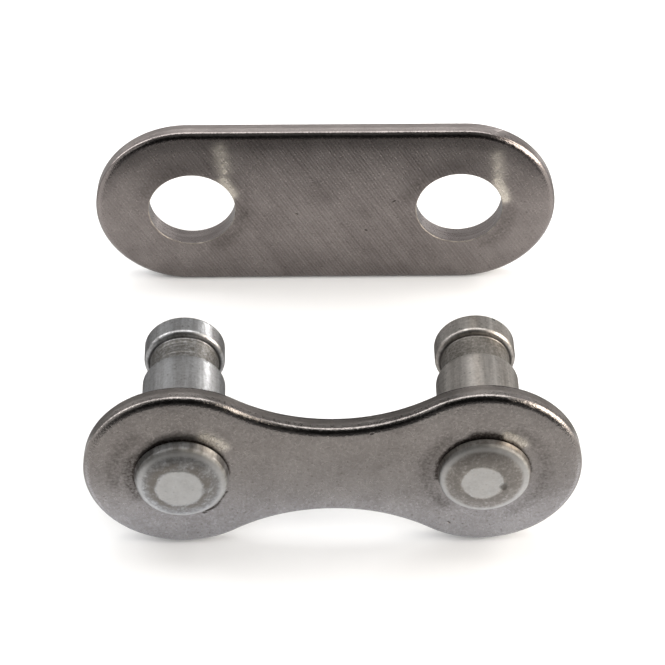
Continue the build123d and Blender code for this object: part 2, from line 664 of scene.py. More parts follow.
@dataclass
class Pin:
    """A turned pin with a peened rivet head, a plain length, a groove and a round head."""

    node: str
    slot: str
    axis_x: float
    peening: Peening
    seed: int
    outside: float
    body: str = "pin_link"
    radius: float = 1.79
    seat_depth: float = 0.08
    bearing: float = 4.55
    shoulder_rounding: float = 0.07
    groove_radius: float = 1.48
    groove_width: float = 1.45
    groove_lip: float = 0.04
    neck_flare: float = 0.03
    neck_flare_length: float = 0.3
    neck_flare_end: float = 0.05
    head_radius: float = 1.76
    head_length: float = 1.1
    tip_rounding: float = 0.12
    near_rounding: float = 0.24
    ring_depth: float = 0.006
    ring_spacing: float = 0.16
    out_of_round: float = 0.003
    ragged: float = 0.01
    ragged_seed: int = 5
    lobe_length: float = 1.4
    ragged_lengths: Place = (1.5, 0.5)
    hammer_lengths: Place = (0.5, 0.22)
    hammer_shares: Place = (0.6, 0.4)
    around_steps: int = 320

    def rivet_profile(self) -> np.ndarray:
        """The rivet's section: disc, domed crown, round rim, flank, and a tuck above the plate.

        The crown falls from the disc to the rim as its way outwards to the crown's power.

        Returns:
            Points (radius, y), from the middle of the rivet to its hole.
        """
        peen, bend = self.peening, self.peening.rim_rounding
        rim_y = self.outside - peen.wall
        top = rim_y - peen.crown
        foot = peen.radius - bend
        inner, step_y = peen.disc_radius + peen.disc_border, top + peen.disc_step
        slant = (inner - peen.disc_slant, top)
        run = foot + peen.rim_start * bend - inner
        fall = rim_y + peen.rim_fall * bend - step_y
        way = np.linspace(0.0, 1.0, peen.crown_steps + 1)[:-1]
        first, last = peen.rim_angles
        rim_centre, slope = (foot, rim_y + bend), math.radians(last)
        flank = (foot + bend * math.cos(slope), rim_y + bend + bend * math.sin(slope))
        tuck_y = self.outside - peen.lift
        out = (peen.radius + peen.spread, tuck_y)
        under = (peen.radius - peen.tuck, tuck_y + peen.tuck_rise)
        return np.concatenate(
            [
                line((0.0, top), slant, 20),
                line(slant, (inner, step_y), 8),
                np.stack([inner + way * run, step_y + fall * way**peen.crown_power], axis=-1),
                arc(rim_centre, bend, first, last, 12),
                line(flank, out, 12),
                line(out, under, 3),
                line(under, (self.radius, self.outside + self.seat_depth), 3),
            ]
        )

    def shank_profile(self) -> np.ndarray:
        """The section of the bearing length, the groove and the head.

        Returns:
            Points (radius, y), from the plate's hole to the middle of the tip.
        """
        bearing, root, head = self.bearing, self.groove_radius, self.head_radius
        end = bearing + self.groove_width
        tip = end + self.head_length
        near, last, soft = self.near_rounding, self.tip_rounding, self.shoulder_rounding
        flare, flare_y = root + self.neck_flare, end - self.neck_flare_length
        seat = (self.radius, self.outside + self.seat_depth)
        return np.concatenate(
            [
                line(seat, (self.radius, bearing - soft), 26),
                arc((self.radius - soft, bearing - soft), soft, 0, 90, 6),
                line((self.radius - soft, bearing), (root, bearing), 3),
                line((root, bearing + self.groove_lip), (root, flare_y), 40),
                line((root, flare_y), (flare, end - self.neck_flare_end), 6),
                line((flare, end), (head - near, end), 3),
                arc((head - near, end + near), near, -90, 0, 12),
                line((head, end + near), (head, tip - last), 14),
                arc((head - last, tip - last), last, 0, 90, 9),
                line((head - last, tip), (0.0, tip), 12),
                np.array([[0.0, tip]]),
            ]
        )

    def zones(
        self, distance: np.ndarray, y: np.ndarray, angle: np.ndarray
    ) -> dict[str, np.ndarray]:
        """Where the finishes lie: peened, disc, groove, ring, rim, flank and corner.

        Each zone is a product of soft steps in the distance from the axis, which are measured
        from the disc's or the rivet's radius, and in y, measured from the rim or the groove.

        Args:
            distance: Distance of the section's points from the pin's axis.
            y: Their places along it.
            angle: Their angles round it.

        Returns:
            Values from nought to one, by zone, and the same for the rivet and for its top, which
            only shape the pin.
        """
        peen, disc, rivet = self.peening, self.peening.disc_radius, self.peening.radius
        rim_y = self.outside - peen.wall
        past_groove = y - self.bearing - self.groove_width
        on_rivet = fade(rim_y, self.outside + 0.1, y)
        top = fade(rim_y, rim_y + 0.12, y)
        outwards = smooth_step(disc - 0.08, disc + 0.1, distance) * top
        past_disc = smooth_step(disc - 0.12, disc + 0.08, distance)
        on_rim = smooth_step(rivet - 0.36, rivet - 0.2, distance)
        in_groove = smooth_step(self.bearing - 0.02, self.bearing + 0.05, y)
        in_head = fade(self.head_radius - 0.2, self.head_radius - 0.1, distance)
        # painted shade in the corner under the head, strongest at the pin's sides
        sides = 0.3 + 0.7 * smooth_step(0.45, 0.85, np.abs(np.cos(angle)))
        return {
            "top": top,
            "rivet": on_rivet,
            "peened": outwards * fade(rivet - 0.5, rivet - 0.1, distance),
            "disc": fade(disc - 0.2, disc + 0.06, distance) * top,
            "groove": in_groove * fade(-0.1, 0.0, past_groove),
            "ring": past_disc * fade(disc + 0.1, rivet - 0.2, distance) * top,
            "rim": on_rim * fade(rim_y + 0.12, rim_y + 0.2, y),
            "flank": on_rivet * (1.0 - top),
            "corner": bell(past_groove - 0.01, 0.09) * in_head * sides * (1.0 - on_rivet),
        }

    def build(self) -> bpy.types.Object:
        """Turns the section about the axis and works the rivet head over as a hammer does.

        Returns:
            The pin, riding on its body in place of its node.
        """
        peen = self.peening
        section = np.concatenate([self.rivet_profile(), self.shank_profile()])
        angle = np.arange(self.around_steps) / self.around_steps * math.tau
        distance, y = (np.repeat(half, len(angle), axis=1) for half in np.split(section, 2, axis=1))
        zones = self.zones(distance, y, angle)
        still = 0.0 * y
        rings = ripples(np.stack([still, y, still], axis=-1), self.ring_spacing, self.seed + 3)
        # the rim is a little out of round, and the groove keeps its turning rings
        turn = np.stack([np.cos(angle), 0.0 * angle, np.sin(angle)], axis=-1)
        lobes = ripples(turn, self.lobe_length, self.seed)
        radius = distance * (1.0 - self.out_of_round * zones["rivet"] * (1.5 + lobes))
        radius = radius - self.ring_depth * zones["groove"] * (1.0 + 0.5 * rings)
        # the disc's outline is ragged and off the middle
        inner = fade(peen.disc_radius, peen.radius, distance) * zones["top"]
        broad, narrow = self.ragged_lengths
        uneven = ripples(turn, broad, self.seed + 4) + ripples(turn, narrow, self.ragged_seed)
        radius = radius + self.ragged * uneven * inner * distance
        x, z = (
            radius * side + shift * inner
            for side, shift in zip((np.cos(angle), np.sin(angle)), peen.disc_shift)
        )
        grid = np.stack([x, y, z], axis=-1)
        blows = enumerate(zip(self.hammer_shares, self.hammer_lengths), self.seed + 1)
        hammered = sum(share * ripples(grid, length, seed) for seed, (share, length) in blows)
        grid[..., 1] += peen.dent * zones["peened"] * hammered
        grid[..., 0] += self.axis_x
        marks = {name: zones[name] for name in zones if name not in ("top", "rivet")}
        piece = Surface.from_grid(grid, marks).as_piece(f"{self.node}_finished")
        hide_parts(self.node)
        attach(piece, self.body)
        return piece


# Finishes


class NodeTree:
    """Thin helper over a shader node tree, which adds nodes and links them."""

    def __init__(self, tree: Tree) -> None:
        """Keeps the tree."""
        self.tree = tree

    def add(self, kind: str, **settings: object) -> Node:
        """Adds a node.

        Args:
            kind: Type of the node, as Blender names it.
            settings: Values of its sockets by name, or of its properties where it has one of
                that name.

        Returns:
            The node.
        """
        node = self.tree.nodes.new(kind)
        for key, value in settings.items():
            if key in node.bl_rna.properties:
                setattr(node, key, value)
            else:
                node.inputs[key.replace("_", " ")].default_value = value
        return node

    def link(self, source: Socket, target: Socket) -> None:
        """Links an output to an input."""
        self.tree.links.new(source, target)

    def fill(self, sockets: Iterable[Socket], terms: Iterable[object]) -> None:
        """Links or sets inputs in order, by outputs or by plain values.

        Args:
            sockets: The inputs.
            terms: An output or a value for each.
        """
        for socket, term in zip(sockets, terms):
            if isinstance(term, bpy.types.NodeSocket):
                self.link(term, socket)
            else:
                socket.default_value = term

    def math(self, operation: str, *terms: Term) -> Socket:
        """A sum or other operation on numbers and outputs.

        Args:
            operation: Blender's name for it.
            terms: Numbers or outputs.

        Returns:
            The result.
        """
        node = self.add("ShaderNodeMath", operation=operation)
        self.fill(node.inputs, terms)
        return node.outputs[0]

    def times(self, first: Term, second: Term) -> Socket:
        """One number or output times another."""
        return self.math("MULTIPLY", first, second)

    def total(self, start: Term, *parts: tuple[Term, Term]) -> Term:
        """A start, plus each part's first term times its second.

        Args:
            start: Number or output that the sum starts from.
            parts: Pairs of terms, each a number or an output.

        Returns:
            The sum.
        """
        for term, factor in parts:
            start = self.math("MULTIPLY_ADD", term, factor, start)
        return start

    def ramp(self, source: Socket, low: float, high: float) -> Socket:
        """A number spread from low and high to nought and one, and held there.

        Args:
            source: The number.
            low: What becomes nought.
            high: What becomes one, above or under low.

        Returns:
            The spread number.
        """
        node = self.add("ShaderNodeMapRange", From_Min=low, From_Max=high)
        self.link(source, node.inputs["Value"])
        return node.outputs["Result"]

    def blend(self, share: Socket, first: Socket | Colour, second: Socket | Colour) -> Socket:
        """A colour between two, by a share from nought to one.

        Args:
            share: Share of the second colour.
            first: The colour where the share is nought.
            second: The colour where it is one.

        Returns:
            The mixed colour.
        """
        node = self.add("ShaderNodeMix", data_type="RGBA")
        # a mix node has inputs for numbers and vectors too, and its colours are 6 and 7
        share_in, first_in, second_in = (node.inputs[number] for number in (0, 6, 7))
        colours = [(*c, 1.0) if isinstance(c, tuple) else c for c in (first, second)]
        self.fill((share_in, first_in, second_in), (share, *colours))
        return node.outputs[2]

    def layered(self, colour: Socket, *layers: tuple[Term, Term, Colour]) -> Socket:
        """A colour with others laid over it in turn, each by its mask times its share.

        Args:
            colour: The colour underneath.
            layers: Mask, share and colour of each layer.

        Returns:
            The mixed colour.
        """
        for mask, share, other in layers:
            colour = self.blend(self.times(mask, share), colour, other)
        return colour

    def coordinates(self) -> Socket:
        """The piece's own coordinates."""
        return self.add("ShaderNodeTexCoord").outputs["Object"]

    def place(self, axis: str) -> Socket:
        """The piece's own coordinate along one axis.

        Args:
            axis: X, Y or Z.

        Returns:
            The coordinate.
        """
        apart = self.add("ShaderNodeSeparateXYZ")
        self.link(self.coordinates(), apart.inputs[0])
        return apart.outputs[axis]

    def value(self, name: str) -> Socket:
        """A named value of the surface's points."""
        return self.add("ShaderNodeAttribute", attribute_name=name).outputs["Fac"]

    def drawn_noise(self, scale: tuple[float, float, float], **settings: float) -> Socket:
        """Noise in the piece's own space, drawn out along an axis whose scale is under one.

        Args:
            scale: Scale along each axis.
            settings: The noise's scale, detail and roughness, by socket name.

        Returns:
            The noise.
        """
        drawn = self.add("ShaderNodeMapping", Scale=scale)
        self.link(self.coordinates(), drawn.inputs["Vector"])
        noise = self.add("ShaderNodeTexNoise", **settings)
        self.link(drawn.outputs["Vector"], noise.inputs["Vector"])
        return noise.outputs["Fac"]

    def pattern(self, group: Tree, **inputs: object) -> Node:
        """Places a pattern's group, reading the piece's own coordinates, with its inputs set.

        Args:
            group: The group.
            inputs: Its values, by socket name with underscores for spaces.

        Returns:
            The group's node.
        """
        node = self.add("ShaderNodeGroup", node_tree=group)
        self.link(self.coordinates(), node.inputs["Vector"])
        for key, value in inputs.items():
            node.inputs[key.replace("_", " ")].default_value = value
        return node

    def dress(self, shader: Node, colour: Socket, roughness: Socket, height: Socket) -> None:
        """Links a shader's colour and roughness, and a height in millimetres as a bump.

        Args:
            shader: The material's shader.
            colour: Base colour.
            roughness: Roughness.
            height: Height over the surface.
        """
        bump = self.add("ShaderNodeBump", Strength=1.0, Distance=MM)
        self.link(height, bump.inputs["Height"])
        self.link(colour, shader.inputs["Base Color"])
        self.link(roughness, shader.inputs["Roughness"])
        self.link(bump.outputs["Normal"], shader.inputs["Normal"])


def rough_grain(helper: NodeTree, middle: float, fine: Socket, *parts: tuple[Term, Term]) -> Term:
    """A roughness that spreads with the grain about its middle, plus masks times adders."""
    return helper.total(middle - GRAIN_SPREAD / 2.0, (fine, GRAIN_SPREAD), *parts)


class Pattern(Enum):
    """Patterns that more than one finish uses, by the names of their groups."""

    GRAIN = "grain"
    STROKES = "strokes"
    SPOT = "spot"

    def open(
        self, vectors: list[str], numbers: dict[str, float], outputs: list[str]
    ) -> tuple[NodeTree, Node, Node]:
        """Starts the pattern's node group, with vectors and numbers in and numbers out.

        Args:
            vectors: Vector inputs.
            numbers: Number inputs and their values.
            outputs: Number outputs.

        Returns:
            The helper of the group's tree, its input node and its output node.
        """
        tree = bpy.data.node_groups.new(self.value, "ShaderNodeTree")
        face = tree.interface
        for name in vectors:
            face.new_socket(name, in_out="INPUT", socket_type="NodeSocketVector")
        for name, value in numbers.items():
            socket = face.new_socket(name, in_out="INPUT", socket_type="NodeSocketFloat")
            socket.default_value = value
        for name in outputs:
            face.new_socket(name, in_out="OUTPUT", socket_type="NodeSocketFloat")
        helper = NodeTree(tree)
        return helper, helper.add("NodeGroupInput"), helper.add("NodeGroupOutput")


def grain_group() -> Tree:
    """Grain of a tumbled surface: fine noise over broad clouds, and sparse dark specks.

    Returns:
        Group with the outputs Fine, Clouds and Specks.
    """
    helper, source, result = Pattern.GRAIN.open(
        ["Vector"],
        {"Grain Scale": 9000.0, "Cloud Scale": 700.0, "Speck Scale": 3500.0, "Speck Size": 0.22},
        ["Fine", "Clouds", "Specks"],
    )
    fine = helper.add("ShaderNodeTexNoise", Detail=3.0, Roughness=0.65)
    clouds = helper.add("ShaderNodeTexNoise", Detail=4.0, Roughness=0.55)
    specks = helper.add("ShaderNodeTexVoronoi", feature="F1", Randomness=1.0)
    pairs = ((fine, "Grain Scale"), (clouds, "Cloud Scale"), (specks, "Speck Scale"))
    for node, scale in pairs:
        helper.link(source.outputs["Vector"], node.inputs["Vector"])
        helper.link(source.outputs[scale], node.inputs["Scale"])
    for node, name in ((fine, "Fine"), (clouds, "Clouds")):
        helper.link(helper.ramp(node.outputs[0], 0.3, 0.7), result.inputs[name])
    # a speck is what lies nearer to a cell's point than the speck size, in cells
    near = helper.math("DIVIDE", specks.outputs["Distance"], source.outputs["Speck Size"])
    helper.link(helper.ramp(near, 1.0, 0.3), result.inputs["Specks"])
    return helper.tree


def strokes_group() -> Tree:
    """Straight brush strokes on a plate's face: wavering bands, mixed with drawn-out noise.

    Returns:
        Group with the output Lines.
    """
    helper, source, result = Pattern.STROKES.open(
        ["Vector"], {"Slant": 1.0, "Across": 9000.0, "Along": 500.0}, ["Lines"]
    )
    turn = helper.add("ShaderNodeVectorRotate", rotation_type="Y_AXIS")
    helper.link(source.outputs["Vector"], turn.inputs["Vector"])
    helper.link(source.outputs["Slant"], turn.inputs["Angle"])
    scale = helper.add("ShaderNodeCombineXYZ")
    helper.fill(scale.inputs, (source.outputs[name] for name in ("Along", "Along", "Across")))
    stretch = helper.add("ShaderNodeVectorMath", operation="MULTIPLY")
    helper.fill(stretch.inputs, (turn.outputs[0], scale.outputs[0]))
    noise = helper.add("ShaderNodeTexNoise", Scale=1.0, Detail=1.0, Roughness=0.5)
    bands = helper.add("ShaderNodeTexWave", bands_direction="Z", Scale=0.2, Distortion=3.5)
    for node in (noise, bands):
        helper.link(stretch.outputs[0], node.inputs["Vector"])
    mixed = helper.total(0.1, (noise.outputs[0], 0.6), (bands.outputs["Fac"], 0.3))
    helper.link(helper.ramp(mixed, 0.3, 0.8), result.inputs["Lines"])
    return helper.tree


def spot_group() -> Tree:
    """A spot round a centre: one inside, nought past its reach, with a ragged border.

    Returns:
        Group with the output Mask.
    """
    helper, source, result = Pattern.SPOT.open(
        ["Vector", "Centre", "Reach"],
        {"Slant": 0.0, "Ragged": 0.3, "Ragged Scale": 6000.0},
        ["Mask"],
    )
    away = helper.add("ShaderNodeVectorMath", operation="SUBTRACT")
    helper.fill(away.inputs, (source.outputs["Vector"], source.outputs["Centre"]))
    turn = helper.add("ShaderNodeVectorRotate", rotation_type="Y_AXIS")
    helper.link(away.outputs[0], turn.inputs["Vector"])
    helper.link(source.outputs["Slant"], turn.inputs["Angle"])
    share = helper.add("ShaderNodeVectorMath", operation="DIVIDE")
    helper.fill(share.inputs, (turn.outputs[0], source.outputs["Reach"]))
    length = helper.add("ShaderNodeVectorMath", operation="LENGTH")
    helper.link(share.outputs[0], length.inputs[0])
    noise = helper.add("ShaderNodeTexNoise", Detail=2.0)
    helper.link(source.outputs["Vector"], noise.inputs["Vector"])
    helper.link(source.outputs["Ragged Scale"], noise.inputs["Scale"])
    shake = helper.math("SUBTRACT", noise.outputs[0], 0.5)
    border = helper.total(length.outputs["Value"], (shake, source.outputs["Ragged"]))
    helper.link(helper.ramp(border, 1.0, 0.5), result.inputs["Mask"])
    return helper.tree


@dataclass(frozen=True)
class Groups:
    """The patterns' node groups, built once."""

    grain: Tree
    strokes: Tree
    spot: Tree


def new_material(name: str) -> tuple[bpy.types.Material, Node]:
    """A material with nothing but its Principled shader.

    Args:
        name: Name of the material.

    Returns:
        The material and its shader.
    """
    material = bpy.data.materials.new(name)
    material.use_nodes = True
    nodes = material.node_tree.nodes
    return material, next(node for node in nodes if node.type == "BSDF_PRINCIPLED")


@dataclass(frozen=True)
class Nick:
    """A small nick or pit: its place, its reach along its slant and across it, in millimetres."""

    place: tuple[float, float, float]
    reach: tuple[float, float, float]
    slant: float = 0.0
    ragged: float = 0.5
    depth: ClassVar[float] = 0.03

    def mask(self, helper: NodeTree, groups: Groups) -> Socket:
        """Places a spot for the nick.

        Args:
            helper: Helper of the material's tree.
            groups: The shared patterns.

        Returns:
            The output that is one in the nick.
        """
        node = helper.pattern(
            groups.spot,
            Centre=tuple(c * MM for c in self.place),
            Reach=tuple(r * MM for r in self.reach),
            Slant=math.radians(self.slant),
            Ragged=self.ragged,
        )
        return node.outputs["Mask"]


def all_nicks(helper: NodeTree, groups: Groups, nicks: tuple[Nick, ...]) -> Term:
    """The strongest of several nicks' masks.

    Args:
        helper: Helper of the material's tree.
        groups: The shared patterns.
        nicks: The nicks.

    Returns:
        The mask, or nought where there is no nick.
    """
    mask = 0.0
    for nick in nicks:
        mask = helper.math("MAXIMUM", mask, nick.mask(helper, groups))
    return mask


@dataclass(frozen=True)
class NickelFinish:
    """Nickel plating on a plate: satin grain, painted highlights, soil and painted shade, and brush
    strokes where asked for.

    A relief is a height in millimetres. A tone or a shade is a share of a darker colour.
    """

    name: str
    colour: Colour
    stain: Colour
    # lower is a painted light: the colour the front turns to towards its bottom, lighter on the pin
    # plate and darker on the loose plate
    lower: Colour
    grain_relief: float
    grain_tone: float
    shear_relief: float
    bore_shade: float
    wall_shade: float
    border_relief: float
    glint_relief: float
    painted_glint_least: float
    stroke_relief: float = 0.0
    stroke_tone: float = 0.0
    ridge_relief: float = 0.0
    nicks: tuple[Nick, ...] = ()
    roughness: float = 0.3
    soiled_and_shaded_least: float = 0.4
    cloud_tone: float = 0.4
    speck_tone: float = 0.4
    soil_and_shade_cover: float = 0.9
    nick_cover: float = 0.7
    stroke_slant: float = -58.0
    stroke_fade: Place = (10.0, 4.0)
    stroke_least: float = 0.4
    lower_band: Place = (1.5, -3.5)
    sheared_band: Place = (0.3, 0.55)
    ridge_waver: float = 0.24
    ridge_rise: Place = (0.46, 0.56)
    ridge_fall: Place = (0.95, 0.6)
    # painted highlight: the bright colour that stands for glints beside the holes and rivets and on
    # the holes' edges
    worn: Colour = (0.95, 0.87, 0.765)
    # soil, and painted shade round the rivets and holes and on the walls and bores; the nicks take
    # this colour too
    soil_and_shade: Colour = (0.06, 0.05, 0.042)

    def build(self, groups: Groups) -> bpy.types.Material:
        """Builds the material.

        Args:
            groups: The shared patterns.

        Returns:
            The material.
        """
        material, shader = new_material(self.name)
        shader.inputs["Metallic"].default_value = 1.0
        helper = NodeTree(material.node_tree)
        masks = self.masks(helper, groups)
        roughness = rough_grain(
            helper,
            self.roughness,
            masks["fine"],
            (masks["edge"], -0.13),
            (masks["soiled"], 0.2),
            (masks["sheared"], 0.1),
            (masks["bore_edge"], 0.35),
        )
        helper.dress(shader, self.paint(helper, masks), roughness, self.relief(helper, masks))
        return material

    def masks(self, helper: NodeTree, groups: Groups) -> dict[str, Term]:
        """Where the plating is grained, brushed, sheared, painted with highlights, soiled and
        painted with shade, and nicked.

        Args:
            helper: Helper of the material's tree.
            groups: The shared patterns.

        Returns:
            Numbers from nought to one, by name.
        """
        grain = helper.pattern(groups.grain)
        flecks = helper.pattern(groups.grain, Grain_Scale=4600.0, Cloud_Scale=2600.0)
        names = ("edge", "wall", "bore", "bore_edge", "across", "border")
        masks = {name: helper.value(name) for name in names}
        walls = helper.math("MAXIMUM", masks["wall"], masks["bore"])
        off_face = helper.math("MAXIMUM", walls, masks["edge"])
        on_face = helper.math("SUBTRACT", 1.0, off_face)
        masks["fine"], masks["clouds"] = grain.outputs["Fine"], grain.outputs["Clouds"]
        masks["flecks"], masks["patches"] = flecks.outputs["Fine"], flecks.outputs["Clouds"]
        masks["specks"] = helper.times(grain.outputs["Specks"], on_face)
        torn = helper.ramp(masks["across"], *self.sheared_band)
        masks["sheared"] = helper.times(masks["wall"], torn)
        # painted highlights, broken up into flecks
        masks["worn"] = self.broken(helper, "worn", masks["flecks"], self.painted_glint_least)
        # soil and painted shade, broken up by grain
        masks["soiled"] = self.broken(helper, "soiled", masks["fine"], self.soiled_and_shaded_least)
        masks["lines"] = self.lines(helper, groups, on_face, masks["bore"])
        masks["nicks"] = all_nicks(helper, groups, self.nicks)
        return masks

    def broken(self, helper: NodeTree, name: str, noise: Socket, least: float) -> Socket:
        """Breaks a soft mark up by noise, which leaves at least a part of it everywhere.

        Args:
            helper: Helper of the material's tree.
            name: Name of the mark's value at the surface's points.
            noise: Noise from nought to one.
            least: Share of the mark where the noise is nought.

        Returns:
            The broken mark, from nought to one.
        """
        part = helper.total(least, (noise, 1.5 - least))
        return helper.math("MINIMUM", helper.times(helper.value(name), part), 1.0)

    def lines(self, helper: NodeTree, groups: Groups, on_face: Socket, bore: Socket) -> Socket:
        """Brush strokes, which fade towards the plate's ends, and turning rings in the holes.

        Args:
            helper: Helper of the material's tree.
            groups: The shared patterns.
            on_face: One on the faces.
            bore: One on the holes' walls.

        Returns:
            The lines, from nought to one.
        """
        strokes = helper.pattern(
            groups.strokes, Slant=math.radians(self.stroke_slant), Across=11000.0, Along=260.0
        )
        rings = helper.drawn_noise((0.04, 1.0, 0.04), Scale=9000.0, Detail=3.0)
        ring = helper.times(helper.ramp(rings, 0.35, 0.65), bore)
        along = helper.math("ABSOLUTE", helper.place("X"))
        reach = helper.ramp(along, *(end * MM for end in self.stroke_fade))
        fading = helper.total(self.stroke_least, (reach, 1.0 - self.stroke_least))
        return helper.total(ring, (helper.times(strokes.outputs["Lines"], fading), on_face))

    def paint(self, helper: NodeTree, masks: dict[str, Term]) -> Socket:
        """Mixes the colour: a painted light towards the bottom, clouds, grain, specks and strokes,
        then painted highlights, soil and painted shade, nicks, painted highlights on the holes'
        edges and painted shade on walls and bores.

        Args:
            helper: Helper of the material's tree.
            masks: The finish's masks.

        Returns:
            The colour.
        """
        # painted light: the face turns to the lower colour towards its bottom
        low = helper.ramp(helper.place("Z"), *(end * MM for end in self.lower_band))
        low = helper.times(low, helper.total(0.6, (masks["clouds"], 0.5)))
        tone = helper.total(
            0.0,
            (masks["clouds"], self.cloud_tone),
            (masks["fine"], self.grain_tone),
            (masks["specks"], self.speck_tone),
            (masks["lines"], self.stroke_tone),
        )
        shade = helper.total(
            0.0, (masks["bore"], self.bore_shade), (masks["sheared"], self.wall_shade)
        )
        return helper.layered(
            helper.blend(tone, helper.blend(low, self.colour, self.lower), self.stain),
            # painted highlights where the glint marks lie
            (masks["worn"], 1.0, self.worn),
            # soil and painted shade where the soiled marks lie
            (masks["soiled"], self.soil_and_shade_cover, self.soil_and_shade),
            (masks["nicks"], self.nick_cover, self.soil_and_shade),
            # painted highlights in patches along the holes' edges
            (masks["bore_edge"], masks["patches"], self.worn),
            # painted shade on the bores and on the back of the plate's wall
            (shade, 1.0, self.soil_and_shade),
        )

    def relief(self, helper: NodeTree, masks: dict[str, Term]) -> Socket:
        """Height of the lines, the grain, the torn wall and its ridge, the glints and the nicks.

        The ridge is the middle of the wall's way from front to back, made to waver by noise.

        Args:
            helper: Helper of the material's tree.
            masks: The finish's masks.

        Returns:
            The height in millimetres.
        """
        way = helper.total(masks["across"], (masks["patches"], self.ridge_waver))
        rise, fall = (helper.ramp(way, *band) for band in (self.ridge_rise, self.ridge_fall))
        ridge = helper.times(rise, fall)
        return helper.total(
            0.0,
            (masks["lines"], self.stroke_relief),
            (masks["fine"], helper.total(self.grain_relief, (masks["border"], self.border_relief))),
            (helper.times(masks["sheared"], masks["flecks"]), self.shear_relief),
            (helper.times(ridge, masks["wall"]), self.ridge_relief),
            (helper.times(masks["worn"], masks["flecks"]), self.glint_relief),
            (masks["nicks"], -Nick.depth),
        )


@dataclass(frozen=True)
class PinFinish:
    """Bright zinc-grey steel: streaked and pitted, mottled where it is peened."""

    name: str
    colour: Colour
    dull: Colour
    crown_shade: float
    nicks: tuple[Nick, ...] = ()
    dark: Colour = (0.14, 0.128, 0.112)
    ring: Colour = (0.27, 0.25, 0.228)
    disc: Colour = (0.68, 0.672, 0.655)
    # painted shade in the corner between the groove and the head
    corner_shade: Colour = (0.03, 0.027, 0.024)
    roughness: float = 0.355
    grain_relief: float = 0.0013
    peened_relief: float = 0.003
    groove_relief: float = 0.001
    streak_relief: float = 0.0024

    def build(self, groups: Groups) -> bpy.types.Material:
        """Builds the material.

        Args:
            groups: The shared patterns.

        Returns:
            The material.
        """
        material, shader = new_material(self.name)
        shader.inputs["Metallic"].default_value = 1.0
        helper = NodeTree(material.node_tree)
        masks = self.masks(helper, groups)
        roughness = rough_grain(
            helper,
            self.roughness,
            masks["fine"],
            (masks["disc"], 0.07),
            (masks["peened"], 0.07),
            (masks["rim"], 0.17),
            (masks["groove"], 0.12),
            (masks["flank"], 0.15),
        )
        grain = helper.total(
            self.grain_relief,
            (masks["peened"], self.peened_relief),
            (masks["groove"], self.groove_relief),
        )
        height = helper.total(
            0.0,
            (masks["fine"], grain),
            (masks["streaks"], self.streak_relief),
            (masks["nicks"], -Nick.depth),
        )
        helper.dress(shader, self.paint(helper, masks), roughness, height)
        return material

    def masks(self, helper: NodeTree, groups: Groups) -> dict[str, Term]:
        """Where the pin is grained, streaked, peened, grooved and nicked.

        Args:
            helper: Helper of the material's tree.
            groups: The shared patterns.

        Returns:
            Numbers from nought to one, by name.
        """
        grain = helper.pattern(groups.grain, Grain_Scale=8000.0, Cloud_Scale=3200.0)
        names = ("peened", "ring", "disc", "groove", "rim", "flank", "corner")
        masks = {name: helper.value(name) for name in names}
        masks.update({name.lower(): grain.outputs[name] for name in ("Fine", "Clouds", "Specks")})
        streaks = helper.drawn_noise((1.0, 0.05, 1.0), Scale=1900.0, Detail=4.0, Roughness=0.7)
        masks["streaks"] = helper.ramp(streaks, 0.38, 0.62)
        # the disc's edge is broken up by clouds and grain
        patch = helper.total(masks["disc"], (masks["clouds"], 0.5), (masks["fine"], 0.45))
        masks["patch"] = helper.ramp(patch, 0.72, 1.12)
        masks["nicks"] = all_nicks(helper, groups, self.nicks)
        return masks

    def paint(self, helper: NodeTree, masks: dict[str, Term]) -> Socket:
        """Mixes the colour: grain and streaks, then pits, the rivet's zones, groove, painted shade
        in the corner under the head, and nicks.

        Args:
            helper: Helper of the material's tree.
            masks: The finish's masks.

        Returns:
            The colour.
        """
        fine, clouds, streaks = masks["fine"], masks["clouds"], masks["streaks"]
        tone = helper.total(0.0, (fine, 0.45), (clouds, 0.2), (streaks, 0.5))
        return helper.layered(
            helper.blend(tone, self.colour, self.dull),
            (masks["specks"], 0.55, self.dark),
            (masks["peened"], helper.total(self.crown_shade, (fine, 0.9)), self.dull),
            (masks["rim"], helper.total(0.5, (fine, 0.5)), self.disc),
            (masks["ring"], helper.total(-0.05, (fine, 0.4), (clouds, 1.2)), self.ring),
            (masks["patch"], helper.total(0.45, (fine, 0.6)), self.disc),
            (masks["groove"], helper.total(0.42, (fine, 0.6)), self.dark),
            (masks["flank"], helper.total(0.4, (streaks, 0.45)), self.dark),
            # painted shade under the head
            (masks["corner"], 0.9, self.corner_shade),
            (masks["nicks"], 0.8, self.dark),
        )


# Studio


@dataclass(frozen=True)
class Softbox:
    """A rectangular area lamp that faces the link, placed by angles and a distance."""

    name: str
    azimuth: float
    elevation: float
    distance: float
    width: float
    height: float
    radiance: float
    colour: Colour = (1.0, 1.0, 1.0)

    def build(self, target: Vector) -> bpy.types.Object:
        """Places the lamp round the target; azimuth 0 is in front, 90 to the right.

        Args:
            target: Point that it faces, in metres.

        Returns:
            The lamp.
        """
        azimuth, elevation = math.radians(self.azimuth), math.radians(self.elevation)
        away = Vector(
            (
                math.sin(azimuth) * math.cos(elevation),
                -math.cos(azimuth) * math.cos(elevation),
                math.sin(elevation),
            )
        )
        data = bpy.data.lights.new(self.name, "AREA")
        data.shape = "RECTANGLE"
        data.size = self.width * MM
        data.size_y = self.height * MM
        data.energy = self.radiance * math.pi * data.size * data.size_y
        data.color = self.colour
        lamp = bpy.data.objects.new(self.name, data)
        lamp.location = target + away * self.distance * MM
        lamp.rotation_euler = away.to_track_quat("Z", "Y").to_euler()
        lamp.visible_camera = False
        bpy.context.scene.collection.objects.link(lamp)
        return lamp


